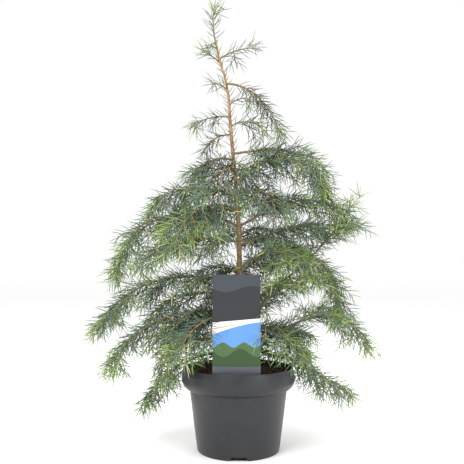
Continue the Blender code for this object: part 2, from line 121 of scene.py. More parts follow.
# Colours from dark to light, mottles a metre, roughness from smooth to rough, relief in metres
finishes = {
    "charcoalPlastic": {"dark": (0.013, 0.014, 0.015), "light": (0.018, 0.019, 0.021), "scale": 40,
                        "smooth": 0.30, "rough": 0.46, "relief": 0.0002},
    "peat": {"dark": (0.010, 0.006, 0.004), "light": (0.060, 0.032, 0.020), "scale": 180,
             "smooth": 0.8, "rough": 1.0, "relief": 0.002},
    "chipBark": {"dark": (0.030, 0.014, 0.008), "light": (0.120, 0.055, 0.030), "scale": 120,
                 "smooth": 0.7, "rough": 0.95, "relief": 0.001},
    "bark": {"dark": (0.160, 0.075, 0.030), "light": (0.520, 0.300, 0.150), "scale": 260,
             "smooth": 0.7, "rough": 0.95, "relief": 0.0008, "stretch": (1, 1, 0.25)},
    "boughBark": {"dark": (0.120, 0.080, 0.038), "light": (0.360, 0.270, 0.130), "scale": 240,
                  "smooth": 0.7, "rough": 0.95, "relief": 0.0006},
    "twigBark": {"dark": (0.160, 0.110, 0.045), "light": (0.380, 0.330, 0.150), "scale": 200,
                 "smooth": 0.65, "rough": 0.9},
}
needleFinish = {"scale": 60, "smooth": 0.42, "rough": 0.66}
# Each tone's plain colour, and the tone value below which a needle takes it; the darkest tone is painted
# shade for needles deep in the crown, and the palest is partly young growth, partly a painted highlight on
# needles that point up
needleTones = {
    "paintedShade": {"colour": (0.010, 0.020, 0.007), "below": 0.30},
    "blueGrey": {"colour": (0.110, 0.180, 0.135), "below": 0.62},
    "mid": {"colour": (0.095, 0.160, 0.040), "below": 0.88},
    "fresh": {"colour": (0.230, 0.340, 0.080), "below": 1.16},
    "pale": {"colour": (0.460, 0.500, 0.240), "below": math.inf},
}
materials = {name: mottledMaterial(name, **finish) for name, finish in finishes.items()}
needleMaterials = {name: mottledMaterial("needles_" + name, tone["colour"], tone["colour"], **needleFinish)
                   for name, tone in needleTones.items()}
print("materials made")


# Mesh and path helpers

def unit(vectors):
    # Each vector over its own length
    return vectors / np.maximum(np.linalg.norm(vectors, axis=-1, keepdims=True), 1e-12)


def levelAcross(heading):
    # The level direction square to the heading, with a hair added so that a plumb heading has one too
    return unit(np.cross(heading, up) + 1e-6)


def addPiece(name, verts, tris, material, nodes, slot, smooth=True):
    # Whole arrays of points and triangles put into one mesh that stands for its nodes
    mesh = bpy.data.meshes.new(name)
    tris = np.asarray(tris, np.int32).reshape(-1, 3)
    mesh.vertices.add(len(verts))
    mesh.vertices.foreach_set("co", np.asarray(verts, np.float32).ravel())
    mesh.loops.add(tris.size)
    mesh.loops.foreach_set("vertex_index", tris.ravel())
    mesh.polygons.add(len(tris))
    mesh.polygons.foreach_set("loop_start", np.arange(0, tris.size, 3, dtype=np.int32))
    mesh.polygons.foreach_set("use_smooth", np.full(len(tris), smooth))
    mesh.update(calc_edges=True)
    mesh.materials.append(material)
    piece = bpy.data.objects.new(name, mesh)
    bpy.context.scene.collection.objects.link(piece)
    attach(piece, "root")
    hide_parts(*nodes)


def readAlong(paths, rows, shares):
    # Points and directions at a share of each row's path, whose points are evenly spaced
    spot = np.clip(shares, 0, 0.9999) * (paths.shape[1] - 1)
    low = spot.astype(int)
    start, end = paths[rows, low], paths[rows, low + 1]
    return start + (end - start) * (spot - low)[:, None], unit(end - start)


def spreadAlong(lengths, spacing, bare, least):
    # What grows on each path past its bare share: the path of each, its number there, and the count
    # on its path, which is the length over the spacing and at least so many
    counts = np.maximum((lengths * (1 - bare) / spacing).astype(int), least)
    rows = np.repeat(np.arange(len(lengths)), counts)
    order = np.arange(len(rows)) - np.repeat(np.cumsum(counts) - counts, counts)
    return rows, order, counts[rows]


def saggingPaths(roots, headings, lengths, sags, count):
    # Each step heads along the twig's first direction plus a pull down that grows with the share travelled
    share = (np.arange(count - 1) + 0.5) / (count - 1)
    pull = -up * share[:, None]
    steps = unit(headings[:, None, :] + pull[None] * sags[:, None, None])
    walked = np.concatenate([np.zeros((len(roots), 1, 3)), np.cumsum(steps, axis=1)], axis=1)
    return roots[:, None] + walked * (lengths / (count - 1))[:, None, None]


def ringWall(rings, sides):
    # Two triangles for each pair of neighbours on a ring and the same pair on the next
    ring = np.arange(sides)
    step = np.arange(rings - 1)[:, None] * sides
    low, lowNext = step + ring, step + (ring + 1) % sides
    return np.concatenate([np.stack([low, lowNext, lowNext + sides], -1),
                           np.stack([low, lowNext + sides, low + sides], -1)]).reshape(-1, 3)


def tubes(paths, radii, sides, relief=1.0):
    # A ring of the given radius round every path point, its circle spanned by the level direction
    # across the path and the direction square to both, with a flat cap at each end
    count, steps = paths.shape[:2]
    heading = unit(np.gradient(paths, axis=1))
    across = levelAcross(heading[:, :1])
    across = unit(across - heading * (across * heading).sum(-1, keepdims=True))
    third = np.cross(heading, across)
    turn = math.tau * np.arange(sides) / sides
    reach = radii[..., None] * relief
    verts = paths[:, :, None] + reach[..., None] * (
        across[:, :, None] * np.cos(turn)[:, None] + third[:, :, None] * np.sin(turn)[:, None])
    fan = np.stack([np.zeros(sides - 2, int), np.arange(1, sides - 1), np.arange(2, sides)], -1)
    tris = np.concatenate([ringWall(steps, sides), fan[:, ::-1], fan + (steps - 1) * sides])
    offsets = np.arange(count)[:, None, None] * steps * sides
    return verts.reshape(-1, 3), (tris[None] + offsets).reshape(-1, 3)


def turnedSurface(profile, sides):
    # A profile of (radius, height) turned once round Z, which faces outwards where its line runs down
    radius, height = np.array(profile).T
    turn = math.tau * np.arange(sides) / sides
    verts = np.stack([radius[:, None] * np.cos(turn), radius[:, None] * np.sin(turn),
                      np.repeat(height[:, None], sides, 1)], -1)
    return verts, ringWall(len(radius), sides)[:, [0, 2, 1]]


def closedPoles(verts, tris):
    # The first and last ring of a turned surface lie on the axis, so each becomes one point, and the
    # triangles that this leaves without area go
    sides = verts.shape[1]
    points = verts.reshape(-1, 3)
    joined = np.arange(len(points))
    joined[:sides] = 0
    joined[-sides:] = len(points) - 1
    tris = joined[tris]
    whole = (tris[:, 0] != tris[:, 1]) & (tris[:, 1] != tris[:, 2]) & (tris[:, 2] != tris[:, 0])
    used, numbered = np.unique(tris[whole], return_inverse=True)
    return points[used], numbered.reshape(-1, 3)


# The growing rule: trunk, stems, twigs and the space of each mass

trunkShape = {
    # height, lean along X and radius
    "stations": ((0.1593, 0.0035, 0.0105), (0.1630, 0.0035, 0.0088), (0.1720, 0.0038, 0.0074),
                 (0.2700, 0.0058, 0.0060), (0.3650, 0.0040, 0.0055), (0.4400, 0.0018, 0.0051),
                 (0.5280, -0.0020, 0.0046), (0.6120, -0.0094, 0.0040), (0.6750, -0.0155, 0.0035),
                 (0.7640, -0.0218, 0.0028), (0.8080, -0.0295, 0.0025), (0.8330, -0.0385, 0.0023),
                 (0.8600, -0.0444, 0.0021), (0.8850, -0.0492, 0.0019)),
    "rings": 420, "sides": 26, "ridges": 0.09, "seed": 3,
}
# Name, height on the trunk, bearing, length, first slope, last slope and the power of the bend
stemRows = (
    ("right_top", 0.789, 348, 0.186, 6, -78, 0.6), ("right_arch", 0.631, 8, 0.240, 10, -84, 2.4),
    ("right_shoulder", 0.556, 350, 0.265, 55, -95, 1.3), ("right_long", 0.469, 4, 0.262, 30, -56, 2.4),
    ("right_back", 0.429, 24, 0.262, 20, -8, 2.4), ("right_front", 0.370, 320, 0.205, 32, -84, 2.4),
    ("right_weeping", 0.378, 353, 0.302, 44, -100, 1.15),
    ("right_upswept", 0.300, 13, 0.350, 23, 59, 1.0),
    ("right_fill", 0.262, 337, 0.215, 42, -4, 2.4), ("right_low", 0.176, 355, 0.322, 41, -72, 2.4),
    ("right_foot", 0.206, 18, 0.277, 4, -36, 0.5), ("left_arch", 0.614, 198, 0.214, 46, -100, 0.5),
    ("left_shoulder", 0.538, 172, 0.208, 16, -54, 1.9), ("left_long", 0.469, 183, 0.345, 30, -88, 1.2),
    ("left_front", 0.437, 207, 0.245, 4, -64, 2.5), ("left_wide", 0.345, 176, 0.356, 13, -68, 1.6),
    ("left_back", 0.318, 158, 0.236, 10, -42, 1.4), ("left_low", 0.266, 187, 0.323, 34, -56, 0.75),
    ("left_fill", 0.206, 203, 0.212, 28, -80, 1.6), ("left_foot", 0.192, 168, 0.253, 18, -58, 0.75),
    ("front_high", 0.580, 256, 0.190, 34, -84, 0.9), ("front_left", 0.506, 228, 0.230, 12, -76, 1.3),
    ("front_right", 0.524, 300, 0.185, 32, -72, 1.1),
    ("front_low_left", 0.262, 226, 0.205, 30, -62, 1.0),
    ("front_low_right", 0.236, 318, 0.195, 34, -58, 1.0),
    ("back_high", 0.586, 78, 0.205, 34, -80, 1.1), ("back_left", 0.498, 122, 0.270, 24, -74, 1.3),
    ("back_right", 0.448, 58, 0.285, 26, -70, 1.3), ("back_middle", 0.352, 92, 0.305, 28, -66, 1.2),
    ("back_low_left", 0.250, 134, 0.290, 30, -62, 1.0),
    ("back_low_right", 0.222, 52, 0.285, 30, -58, 1.0),
    ("shoot_right_cluster", 0.692, 330, 0.085, 26, -48, 1.0),
    ("shoot_left_lower", 0.674, 172, 0.078, 4, -78, 1.2),
    ("shoot_left_upper", 0.714, 190, 0.088, 4, -40, 1.1),
    ("shoot_left_top", 0.838, 165, 0.055, 46, 24, 1.0),
    ("shoot_right_top", 0.846, 12, 0.090, 40, 4, 1.0),
    ("shoot_right_middle", 0.742, 338, 0.048, 34, -12, 1.0),
    ("shoot_left_middle", 0.776, 188, 0.038, 38, 8, 1.0),
    ("shoot_left_leader", 0.868, 176, 0.026, 44, 24, 1.0), ("leader", 0.885, 184, 0.074, 74, 98, 1.0),
)
growth = {
    "stemPoints": 49,
    "placeSpread": (0.2, 0.8),              # where a twig stands in its share of the limb
    "angle": 54, "angleSpread": 11,         # degrees from the limb to its twig
    "lift": (-0.45, 0.55),                  # how far a twig points below or above the level
    "taper": 0.55, "tipLength": 0.014,      # how twigs shorten along the limb, and what is left at its tip
    "lengthSpread": (0.75, 1.15), "shortest": 0.012,
    "sag": 1.15,                            # the pull down at a level twig's tip, over its own heading
    "topHeight": 0.62, "topEase": 0.15, "topSpread": 1.1,    # twigs stand further apart up there
    "outwardKept": 0.8,                     # how much of its limb's outward value a finer twig starts with
    "spaceSlack": 0.032,                    # how much nearer another stem may be before a twig ends
}
# Distance apart, bare share of the limb, length over the limb's, longest, and the tube's points, sides
# and thickness at its root
twigKind = {"spacing": 0.0145, "bare": 0.10, "share": 0.47, "longest": 0.140, "points": 9,
            "sides": 4, "thick": 0.0005}
fineTwigKind = {"spacing": 0.0240, "bare": 0.15, "share": 0.5, "longest": 0.042, "points": 7,
                "sides": 3, "thick": 0.0003}
stations = np.array(trunkShape["stations"])


def trunkAt(heights):
    # The trunk's axis and radius, read between its stations
    lean = np.interp(heights, stations[:, 0], stations[:, 1])
    radius = np.interp(heights, stations[:, 0], stations[:, 2])
    return np.stack([lean, np.zeros_like(lean), heights], -1), radius


def stemPaths():
    # The slope runs from the first to the last as the share of the length to the power of the bend
    table = np.array([row[1:] for row in stemRows], float)
    height, bearing, length, rise, droop, bend = table.T
    steps = growth["stemPoints"] - 1
    share = (np.arange(steps) + 0.5) / steps
    slope = np.radians(rise[:, None] + (droop - rise)[:, None] * share ** bend[:, None])
    turn = np.radians(bearing)[:, None]
    moves = np.stack([np.cos(slope) * np.cos(turn), np.cos(slope) * np.sin(turn), np.sin(slope)], -1)
    centre, _ = trunkAt(height)
    walked = np.concatenate([np.zeros((len(table), 1, 3)), np.cumsum(moves, axis=1)], axis=1)
    return centre[:, None] + walked * (length / steps)[:, None, None], length


stems, stemLengths = stemPaths()
stemSamples = stems.reshape(-1, 3)
card = {"x": -0.0045, "y": -0.095, "halfWidth": 0.0475, "top": 0.364}
# Radii, heights and thicknesses; the tab is a stretch of the collar between two bearings
potShape = {
    "foot": 0.0862, "neck": 0.1032, "collar": 0.1198, "rim": 0.1162,
    "neckHeight": 0.1255, "collarHeight": 0.1430, "height": 0.1710, "wall": 0.0022, "floor": 0.003,
    "rimDrop": 0.002, "collarInset": 0.006, "collarBulge": 0.0008, "underBend": 1.6, "footRound": 0.003,
    "tabFrom": -170, "tabTo": -118, "tabFoot": 0.1555, "tabRise": 0.0007,
    "tabSideEase": 1.5, "tabFootEase": 0.0015,
    "notches": 4, "notchFoot": 0.038, "notchTop": 0.028, "notchHeight": 0.008,
    "notchInner": 0.078, "notchEdge": 0.002, "sides": 240,
}
# How far twigs and needles stay from the pot's collar and rim, the card's edges and faces, and the ground
clearance = {"collar": 0.004, "rim": 0.002, "cardEdge": 0.002, "cardFace": 0.006, "ground": 0.012}


def offObstacles(points):
    # True outside the pot's circle or above its rim, and beside, before, behind or above the card
    radius = np.hypot(points[:, 0], points[:, 1])
    offPot = ((radius > potShape["collar"] + clearance["collar"])
              | (points[:, 2] > potShape["height"] + clearance["rim"]))
    offCard = ((np.abs(points[:, 0] - card["x"]) > card["halfWidth"] + clearance["cardEdge"])
               | (np.abs(points[:, 1] - card["y"]) > clearance["cardFace"])
               | (points[:, 2] > card["top"] + clearance["cardEdge"]))
    return offPot & offCard & (points[:, 2] > clearance["ground"])


def inOwnSpace(points, owners):
    # A point belongs to the stem that passes nearest, give or take the slack
    batch = 4000     # points measured at once, which keeps the table of distances small
    kept = np.zeros(len(points), bool)
    for start in range(0, len(points), batch):
        part = slice(start, start + batch)
        gaps = np.sqrt(np.maximum((points[part] ** 2).sum(1)[:, None] + (stemSamples ** 2).sum(1)
                                  - 2 * points[part] @ stemSamples.T, 0))
        nearest = gaps.reshape(len(gaps), len(stems), -1).min(2)
        mine = nearest[np.arange(len(gaps)), owners[part]]
        kept[part] = mine < nearest.min(1) + growth["spaceSlack"]
    return kept & offObstacles(points)


def trimmed(roots, headings, lengths, sags, owners, count):
    # Each twig ends just before its first point outside its space, and short ones are left out
    paths = saggingPaths(roots, headings, lengths, sags, count)
    free = inOwnSpace(paths.reshape(-1, 3), np.repeat(owners, count)).reshape(-1, count)
    free[:, 0] = True
    reach = np.where(free.all(1), count - 1, np.argmin(free, axis=1) - 1)
    lengths = lengths * reach / (count - 1)
    kept = lengths > growth["shortest"]
    paths = saggingPaths(roots[kept], headings[kept], lengths[kept], sags[kept], count)
    return paths, lengths[kept], kept


def branchOff(paths, lengths, owners, outward, spacing, kind):
    # Twigs leave by turns left and right at the angle, shorten towards the limb's tip by a power of
    # the share left, and sag under their weight. Outward runs from the limb's own value to 1 at its tip.
    rows, order, counts = spreadAlong(lengths, spacing, kind["bare"], 1)
    stand = order + rng.uniform(*growth["placeSpread"], len(rows))
    place = kind["bare"] + (1 - kind["bare"]) * stand / counts
    roots, heading = readAlong(paths, rows, place)
    level = levelAcross(heading) * np.where(order % 2, 1, -1)[:, None]
    lift = rng.uniform(*growth["lift"], len(rows))
    spread = growth["angleSpread"]
    angle = np.radians(growth["angle"] + rng.uniform(-spread, spread, len(rows)))[:, None]
    sideways = unit(level + up * lift[:, None])
    setOff = unit(heading * np.cos(angle) + sideways * np.sin(angle))
    wanted = kind["share"] * lengths[rows] * (1 - place) ** growth["taper"] + growth["tipLength"]
    wanted = np.minimum(kind["longest"], wanted) * rng.uniform(*growth["lengthSpread"], len(rows))
    sags = growth["sag"] * (1 - np.maximum(0, heading[:, 2]))
    found, grown, kept = trimmed(roots, setOff, wanted, sags, owners[rows], kind["points"])
    return found, grown, owners[rows][kept], (outward[rows] + (1 - outward[rows]) * place)[kept]


towardsTop = np.clip((stems[:, 0, 2] - growth["topHeight"]) / growth["topEase"], 0, 1)
twigs, twigLengths, twigOwners, twigOut = branchOff(
    stems, stemLengths, np.arange(len(stems)), np.zeros(len(stems)),
    twigKind["spacing"] * (1 + growth["topSpread"] * towardsTop), twigKind)
fineTwigs, fineLengths, fineOwners, fineOut = branchOff(
    twigs, twigLengths, twigOwners, twigOut * growth["outwardKept"], fineTwigKind["spacing"], fineTwigKind)
print("twigs", len(twigs), "finer twigs", len(fineTwigs))


# Trunk and boughs with the bark's relief

barkShape = {"waves": (3, 5, 8, 11), "wander": (4, 14), "swing": 2.2, "breaks": 5}
boughShape = {"tip": 0.0008, "root": 0.0008, "rootByLength": 0.0050, "taper": 0.9,
              "sides": 9, "ridges": 0.08, "seed": 5}
twigTaper = {"tip": 0.0005, "rootByLength": 0.004}


def barkRelief(count, steps, sides, depth, seed):
    # One plus a sum of long ridges round the limb, whose phase wanders slowly along it
    own = np.random.default_rng(seed)
    turn = math.tau * np.arange(sides) / sides
    along = np.linspace(0, 1, steps)[:, None]
    total = np.ones((count, steps, sides))
    for waves in barkShape["waves"]:
        phase = own.uniform(0, math.tau, (count, 1, 1))
        wander = own.uniform(*barkShape["wander"], (count, 1, 1))
        ridge = np.sin(waves * turn + phase + barkShape["swing"] * np.sin(wander * along + phase))
        total += depth / 2 * ridge * np.sin(wander * barkShape["breaks"] * along + waves + phase)
    return total


def twigTubes(paths, lengths, kind):
    # The radius falls evenly to the tip's, from a root that is thicker on a longer twig
    left = 1 - np.linspace(0, 1, kind["points"])
    even = twigTaper["tip"] + kind["thick"] * left
    radii = even[None] + twigTaper["rootByLength"] * lengths[:, None] * left
    return tubes(paths, radii, kind["sides"])


heights = np.linspace(stations[0, 0], stations[-1, 0], trunkShape["rings"])
trunkPath, trunkRadius = trunkAt(heights)
trunkRelief = barkRelief(1, trunkShape["rings"], trunkShape["sides"], trunkShape["ridges"],
                         trunkShape["seed"])
verts, tris = tubes(trunkPath[None], trunkRadius[None], trunkShape["sides"], trunkRelief)
addPiece("trunk_bark", verts, tris, materials["bark"], ["trunk"], "bark")

share = np.linspace(0, 1, growth["stemPoints"])
boughRoot = boughShape["root"] + boughShape["rootByLength"] * stemLengths
boughRadius = boughShape["tip"] + boughRoot[:, None] * (1 - share) ** boughShape["taper"]
boughRelief = barkRelief(len(stems), growth["stemPoints"], boughShape["sides"], boughShape["ridges"],
                         boughShape["seed"])
verts, tris = tubes(stems, boughRadius, boughShape["sides"], boughRelief)
addPiece("bough_bark", verts, tris, materials["boughBark"], boughNodes, "bark")

verts, tris = twigTubes(twigs, twigLengths, twigKind)
addPiece("twigs", verts, tris, materials["twigBark"], foliageNodes, "bark")
verts, tris = twigTubes(fineTwigs, fineLengths, fineTwigKind)
addPiece("fine_twigs", verts, tris, materials["twigBark"], foliageNodes, "bark")
print("limbs and twigs made")


# Needles

needles = {
    "length": 0.032, "width": 0.0017, "spacing": 0.0036,
    "lean": 58, "leanSpread": (0.7, 1.25), "leanLostAtTip": 0.45,          # degrees from the twig
    "lengthSpread": (0.72, 1.08), "lengthLostAtTip": 0.25,
    "spiral": 137.5, "nextTwig": 53.0, "turnSpread": 0.4,                 # degrees, degrees, radians
    "rings": ((0.0, 0.7), (0.33, 1.0), (0.7, 0.8)), "bend": 0.24,         # share of length, of width
    "leaderFoot": 0.60,                     # needles stand singly on the trunk above this height
    "perPiece": 12400,                      # at sixteen triangles each
}
# What a needle's tone grows with, and how much it varies by itself and by its twig; the outward and tip
# terms are partly older needles inside and fresh tips, partly painted shade deep in the crown, and the term
# for needles that point up is painted light from above
toneRule = {"outward": 0.75, "towardsTip": 0.55, "paintedTopLight": 0.22, "each": 0.05, "twig": 0.16}
# Sprays that are fresher or bluer than the rest, by the stem that bears them
freshSprays = {
    "right_fill": 0.20, "right_front": 0.12, "left_long": 0.14, "front_left": 0.14, "left_fill": 0.10,
    "front_high": -0.22, "front_right": -0.18, "back_middle": -0.14, "back_low_left": -0.12,
}
freshness = np.array([freshSprays.get(row[0], 0.0) for row in stemRows])


def needlesAlong(paths, lengths, outward, bare, spacing, size, lean):
    # Roots follow a spiral round the twig, and needles lean towards its tip, the more the nearer it is
    rows, order, counts = spreadAlong(lengths, needles["spacing"] * spacing, bare, 2)
    place = bare + (1 - bare) * (order + 0.5) / counts
    roots, heading = readAlong(paths, rows, place)
    across = levelAcross(heading)
    third = np.cross(heading, across)
    turn = (order * needles["spiral"] + rows * needles["nextTwig"]) * math.pi / 180
    turn += rng.uniform(-needles["turnSpread"], needles["turnSpread"], len(rows))
    radial = across * np.cos(turn)[:, None] + third * np.sin(turn)[:, None]
    angle = needles["lean"] * lean * rng.uniform(*needles["leanSpread"], len(rows))
    angle = np.radians(angle * (1 - needles["leanLostAtTip"] * place ** 4))[:, None]
    pointing = unit(radial * np.sin(angle) + heading * np.cos(angle))
    reach = needles["length"] * size * rng.uniform(*needles["lengthSpread"], len(rows))
    reach *= 1 - needles["lengthLostAtTip"] * place ** 6
    # The tone rises further out and towards the tip, partly for older needles inside and fresh tips, partly
    # as painted shade deep in the crown, and rises on needles that point up as painted light from above
    tone = (toneRule["outward"] * outward[rows] + toneRule["towardsTip"] * place ** 2
            + toneRule["paintedTopLight"] * pointing[:, 2] + rng.normal(0, toneRule["each"], len(rows)))
    tone += rng.normal(0, toneRule["twig"], len(paths))[rows]
    return roots, pointing, heading, reach, tone


def joinedNeedles():
    # The needles of the leader, the stems, their twigs and the finer twigs, one kind after the other
    leaderPath = trunkPath[None, heights > needles["leaderFoot"]]
    leaderLength = np.array([heights[-1] - needles["leaderFoot"]])
    kinds = (
        # paths, lengths, outward value, bare share, and spacing, size and lean over the usual
        (leaderPath, leaderLength, np.array([0.35]), 0.02, 1, 0.8, 1),
        (stems, stemLengths, 0.45 + freshness, 0.10, 1, 1, 1),
        (twigs, twigLengths, twigOut + freshness[twigOwners], 0.04, 1, 1, 1),
        (fineTwigs, fineLengths, fineOut + freshness[fineOwners], 0.04, 1.05, 0.86, 1.05),
    )
    return [np.concatenate(part) for part in zip(*(needlesAlong(*kind) for kind in kinds))]


def needleMesh(roots, pointing, heading, reach):
    # A three-sided spike whose middle line is straight plus a bend towards the twig's tip that grows
    # with the square of the share travelled: a closed root, three rings and a point
    across = levelAcross(pointing)
    third = np.cross(pointing, across)
    turn = math.tau * np.arange(3) / 3
    ring = across[:, None] * np.cos(turn)[:, None] + third[:, None] * np.sin(turn)[:, None]

    def middle(share):
        # The middle line's points at one share of the length
        return roots + (pointing * share + heading * needles["bend"] * share ** 2) * reach[:, None]

    rings = [middle(share)[:, None] + ring * needles["width"] / 2 * width
             for share, width in needles["rings"]]
    verts = np.concatenate(rings + [middle(1.0)[:, None]], 1)
    last = 3 * len(rings) - 3
    pattern = [(0, 2, 1)]
    for low in range(0, last, 3):
        for side, after in ((0, 1), (1, 2), (2, 0)):
            pattern += [(low + side, low + after, low + 3 + after),
                        (low + side, low + 3 + after, low + 3 + side)]
    pattern += [(last + side, last + after, last + 3) for side, after in ((0, 1), (1, 2), (2, 0))]
    tris = np.array(pattern)[None] + verts.shape[1] * np.arange(len(roots))[:, None, None]
    return verts.reshape(-1, 3), tris.reshape(-1, 3)


roots, pointing, heading, reach, tone = joinedNeedles()
along = pointing * reach[:, None]
clear = offObstacles(roots + along) & offObstacles(roots + along * 0.5)
roots, pointing, heading, reach, tone = (part[clear] for part in (roots, pointing, heading, reach, tone))
print("needles", len(roots))

lowest = -math.inf
for toneName, toneValues in needleTones.items():
    chosen = np.flatnonzero((tone >= lowest) & (tone < toneValues["below"]))
    lowest = toneValues["below"]
    for start in range(0, len(chosen), needles["perPiece"]):
        rows = chosen[start:start + needles["perPiece"]]
        verts, tris = needleMesh(roots[rows], pointing[rows], heading[rows], reach[rows])
        addPiece(f"needles_{toneName}_{start // needles['perPiece'] + 1}", verts, tris,
                 needleMaterials[toneName], foliageNodes, "needles", smooth=False)
    print("needles", toneName, len(chosen))


# Pot

def profilePart(radii, heights):
    # Radii and heights, arrays or single numbers, paired as the points of a profile
    return np.stack(np.broadcast_arrays(radii, heights), -1)


def potProfile():
    # Floor, inner wall, rolled rim, collar, its round underside, wall and foot, as one turned line,
    # and how many of its points are on the floor and the inner wall; each count says how fine a stretch is
    shape = potShape
    innerFoot, flare = shape["foot"] - shape["wall"], shape["neck"] - shape["foot"]
    share = np.linspace(0.06, 1, 14)
    inside = np.concatenate([
        profilePart([0, shape["notchInner"], innerFoot], shape["floor"]),
        profilePart(innerFoot + flare * share, shape["neckHeight"] * share)])
    shoulder = profilePart([shape["collar"] - shape["collarInset"], shape["rim"] - shape["wall"]],
                           [shape["collarHeight"], shape["height"] - shape["rimDrop"]])
    turn = np.linspace(math.pi, 0, 9)
    lip = shape["wall"] / 2
    rim = profilePart(shape["rim"] - lip + lip * np.cos(turn), shape["height"] - lip + lip * np.sin(turn))
    share = np.linspace(0.08, 1, 12)
    bulge = shape["collarBulge"] * np.sin(math.pi * share)
    top = shape["height"] - shape["rimDrop"]
    collar = profilePart(shape["rim"] + (shape["collar"] - shape["rim"]) * share + bulge,
                         top - (top - shape["collarHeight"]) * share)
    turn = np.linspace(0, math.pi / 2, 12)[1:]
    depth, width = shape["collarHeight"] - shape["neckHeight"], shape["collar"] - shape["neck"]
    under = profilePart(shape["neck"] + width * np.cos(turn),
                        shape["collarHeight"] - depth * np.sin(turn) ** shape["underBend"])
    share = np.linspace(0.97, 0.03, 26)
    wall = profilePart(shape["foot"] + flare * share, shape["neckHeight"] * share)
    turn = np.linspace(0, math.pi / 2, 6)
    curve = shape["footRound"]
    foot = profilePart(shape["foot"] - curve + curve * np.cos(turn), curve - curve * np.sin(turn))
    bottom = profilePart([shape["notchInner"] + shape["notchEdge"], shape["notchInner"], 0], 0)
    return np.concatenate([inside, shoulder, rim, collar, under, wall, foot, bottom]), len(inside)


def makePot():
    # Where a notch passes, the foot's points are lifted to its trapezoid
    shape = potShape
    profile, insideCount = potProfile()
    verts, tris = turnedSurface(profile, shape["sides"])
    radius = np.hypot(verts[..., 0], verts[..., 1])
    bearing = np.arctan2(verts[..., 1], verts[..., 0])
    between = math.tau / shape["notches"]
    offset = np.abs((bearing + between / 2) % between - between / 2) * radius
    slope = (shape["notchFoot"] - shape["notchTop"]) / 2
    lift = shape["notchHeight"] * np.clip((shape["notchFoot"] / 2 - offset) / slope, 0, 1)
    lift[radius < shape["notchInner"] + shape["notchEdge"] / 2] = 0
    inside = np.arange(len(verts))[:, None] < insideCount
    # The tab: its stretch of the collar's outer face, above a height, is pushed outwards
    degrees = np.degrees(bearing)
    ends = np.minimum(degrees - shape["tabFrom"], shape["tabTo"] - degrees)
    across = np.clip(ends / shape["tabSideEase"], 0, 1)
    above = np.clip((verts[..., 2] - shape["tabFoot"]) / shape["tabFootEase"], 0, 1)
    outer = radius >= shape["rim"] - 0.0001
    push = 1 + shape["tabRise"] * across * above * outer / np.maximum(radius, shape["foot"])
    verts[..., :2] *= push[..., None]
    verts[..., 2] = np.maximum(verts[..., 2], np.where(inside & (lift > 0), lift + shape["wall"], lift))
    addPiece("pot_shell", *closedPoles(verts, tris), materials["charcoalPlastic"], ["pot"], "pot_plastic")


makePot()
print("pot made")


# Soil with chips

soil = {
    "top": 0.159, "radius": 0.1125, "fall": 0.002, "rings": 70, "sides": 150,
    "plug": ((0.0, 0.004), (0.07, 0.004), (0.084, 0.02), (0.0985, 0.12), (0.1125, 0.146)),
    "lump": 0.0011, "lumpWaves": (60, 110, 190, 330, 610), "edgeEase": 0.004,
}
chips = {
    "count": 1500, "size": (0.0012, 0.0042), "wide": 0.55, "thick": 0.35, "ragged": (0.7, 1.3),
    "tilt": 0.35, "sink": 0.0005, "spread": (0.003, 0.93),   # the spread is in squares of the radius
}


def lumps(x, y):
    # A sum of crossed sine waves of falling height, fixed by the place; the bare numbers keep the waves
    # of the two axes apart
    total = 0
    for step, size in enumerate(soil["lumpWaves"]):
        alongX = np.sin(size * x + step * 1.7 + np.sin(size * 0.7 * y))
        alongY = np.sin(size * 0.9 * y + step * 2.3 + np.sin(size * 0.8 * x))
        total = total + alongX * alongY / (1 + step * 0.6)
    return soil["lump"] * total


def makeSoil():
    # A plug from its underside up its wall, closed by a top that falls to its edge and takes the lumps;
    # its line runs up the wall, so the triangles are turned round
    radius = np.linspace(soil["radius"], 0, soil["rings"])
    surface = profilePart(radius, soil["top"] - soil["fall"] * radius / soil["radius"])
    verts, tris = turnedSurface(np.concatenate([soil["plug"], surface]), soil["sides"])
    top = verts[len(soil["plug"]):]
    fade = np.clip((soil["radius"] - np.hypot(top[..., 0], top[..., 1])) / soil["edgeEase"], 0, 1)
    top[..., 2] += fade * lumps(top[..., 0], top[..., 1])
    addPiece("soil_surface", *closedPoles(verts, tris[:, ::-1]), materials["peat"], ["soil"], "potting_mix")


def makeChips():
    # Flat eight-sided crumbs, each stretched along its own random axes, that lie on the lumps
    count = chips["count"]
    turn = rng.uniform(0, math.tau, count)
    radius = soil["radius"] * np.sqrt(rng.uniform(*chips["spread"], count))
    x, y = radius * np.cos(turn), radius * np.sin(turn)
    z = soil["top"] - chips["sink"] + lumps(x, y)
    first = unit(rng.normal(size=(count, 3)) * (1, 1, chips["tilt"]))
    second = unit(np.cross(up, first))
    third = np.cross(first, second)
    size = rng.uniform(*chips["size"], count)[:, None]
    long, wide, thick = first * size, second * size * chips["wide"], third * size * chips["thick"]
    corners = np.stack([long, wide, -long, -wide, thick, -thick], 1)
    corners *= rng.uniform(*chips["ragged"], (count, 6, 1))
    verts = np.stack([x, y, z], -1)[:, None] + corners
    pattern = np.array([(0, 1, 4), (1, 2, 4), (2, 3, 4), (3, 0, 4),
                        (1, 0, 5), (2, 1, 5), (3, 2, 5), (0, 3, 5)])
    tris = pattern[None] + 6 * np.arange(count)[:, None, None]
    addPiece("soil_chips", verts.reshape(-1, 3), tris.reshape(-1, 3), materials["chipBark"], ["soil"],
             "potting_mix", smooth=False)


makeSoil()
makeChips()
print("soil made")


# Card

